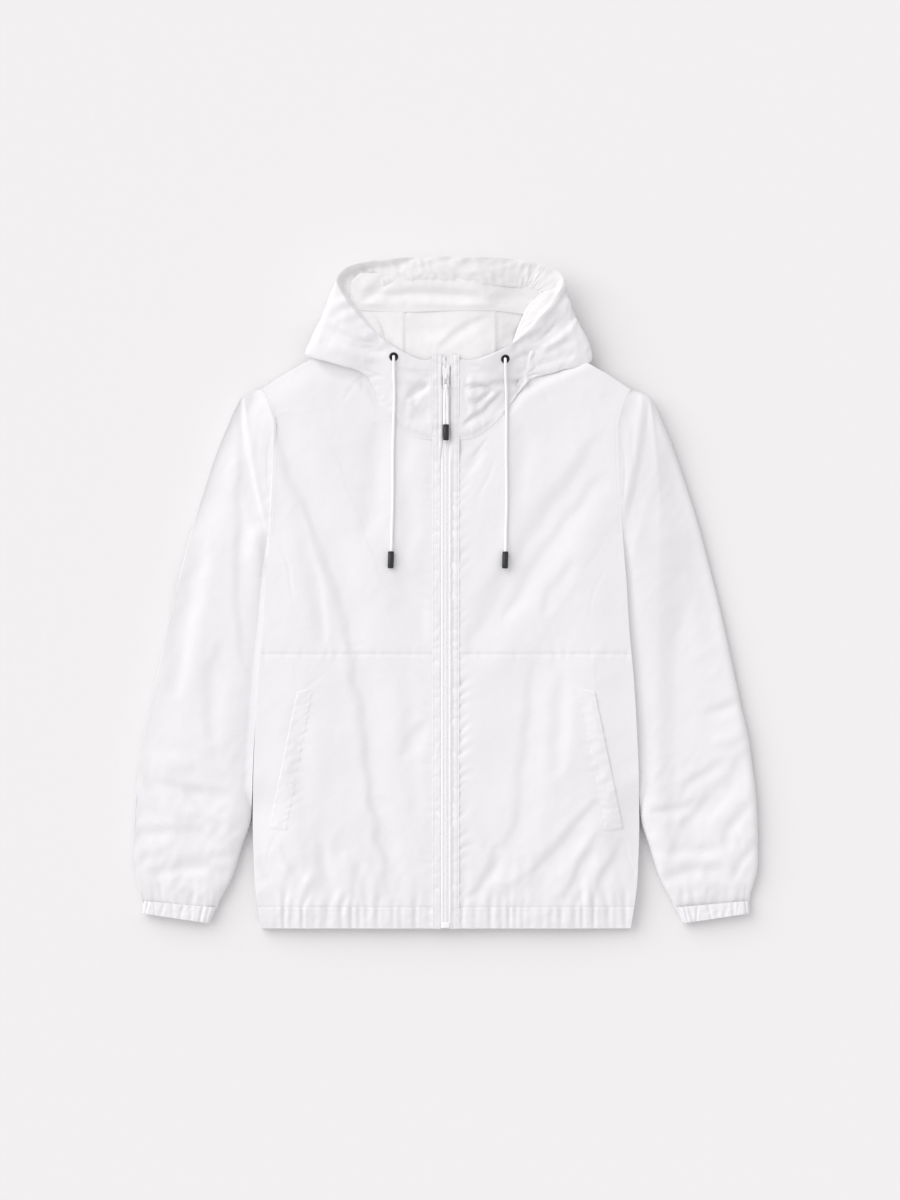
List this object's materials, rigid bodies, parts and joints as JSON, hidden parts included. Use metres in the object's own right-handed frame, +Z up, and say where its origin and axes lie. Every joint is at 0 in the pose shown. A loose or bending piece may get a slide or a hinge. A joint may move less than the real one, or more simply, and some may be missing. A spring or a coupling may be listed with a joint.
{
  "type": "windbreaker jacket",
  "caption": "Hooded zip-up windbreaker laid flat, with an open hood, drawcords, slanted welt pockets, gathered cuffs and hem, and a zip pull that lifts",
  "frame": {"origin": "the middle of the jacket's outline, on the surface it lies on", "axes": "+Y runs along the zip from hem to hood, +X to the viewer's right as seen from above, +Z up off the surface"},
  "size_m": [0.7494, 0.8054, 0.0484],
  "materials": {
    "shell_nylon": "fine plain-weave nylon, soft sheen",
    "hood_facing": "fine plain-weave nylon, soft sheen",
    "zip_tape": "ribbed woven tape",
    "zip_coil": "satin moulded plastic",
    "coated_metal": "satin white coat",
    "white_cord": "round braided cord",
    "black_rubber": "satin moulded rubber",
    "black_metal": "black lacquered brass"
  },
  "bodies": {
    "jacket": {"back": "shell_nylon", "front_upper_left": "shell_nylon", "front_upper_right": "shell_nylon", "front_lower_left": "shell_nylon", "front_lower_right": "shell_nylon", "sleeve_left": "shell_nylon", "sleeve_right": "shell_nylon", "cuff_left": "shell_nylon", "cuff_right": "shell_nylon", "hem_left": "shell_nylon", "hem_right": "shell_nylon", "hem_back": "shell_nylon", "placket_left": "shell_nylon", "placket_right": "shell_nylon", "pocket_welt_left": "shell_nylon", "pocket_welt_right": "shell_nylon", "hood_side_left": "shell_nylon", "hood_side_right": "shell_nylon", "hood_centre": "shell_nylon", "hood_casing": "hood_facing", "hood_crown_fold": "hood_facing", "zip_tape": "zip_tape", "zip_chain": "zip_coil", "zip_box": "zip_coil", "zip_slider": "coated_metal", "eyelet_left": "black_metal", "eyelet_right": "black_metal", "drawcord_left": "white_cord", "drawcord_right": "white_cord", "cord_tip_left": "black_rubber", "cord_tip_right": "black_rubber"},
    "zip_pull": {"pull_tab": "coated_metal", "pull_cord": "white_cord", "pull_tip": "black_rubber"}
  },
  "joints": [
    {"name": "pull_hinge", "type": "hinge", "parent": "jacket", "child": "zip_pull", "pos_m": [0, 0.25821, 0.04075], "axis": [-1, 0, 0], "range_deg": [0, 150]}
  ]
}
